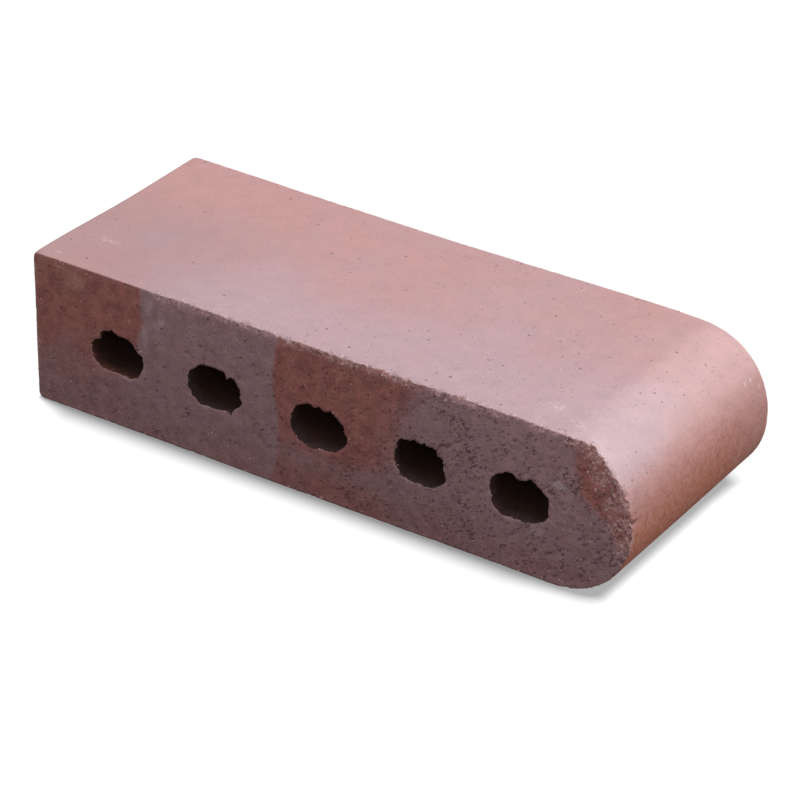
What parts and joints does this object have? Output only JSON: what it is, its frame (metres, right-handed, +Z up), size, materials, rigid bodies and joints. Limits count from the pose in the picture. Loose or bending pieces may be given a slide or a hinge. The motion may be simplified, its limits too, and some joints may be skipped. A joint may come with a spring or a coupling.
{
  "type": "bullnose coping brick",
  "caption": "Long fired clay coping brick with one full bullnose end, smooth top and bed, wire-cut sides and a row of oblong cores through its width.",
  "frame": {"origin": "middle of the brick's footprint, on the bed face that it lies on", "axes": "+X along the length towards the rounded nose, +Y through the width along the cores, +Z up through the thickness"},
  "size_m": [0.241, 0.092, 0.058],
  "materials": {
    "fired_clay": "fired red clay flashed mauve, satin die skin on top and nose, rough wire-cut sides"
  },
  "bodies": {
    "root": {"coping_brick": "fired_clay"}
  },
  "joints": []
}
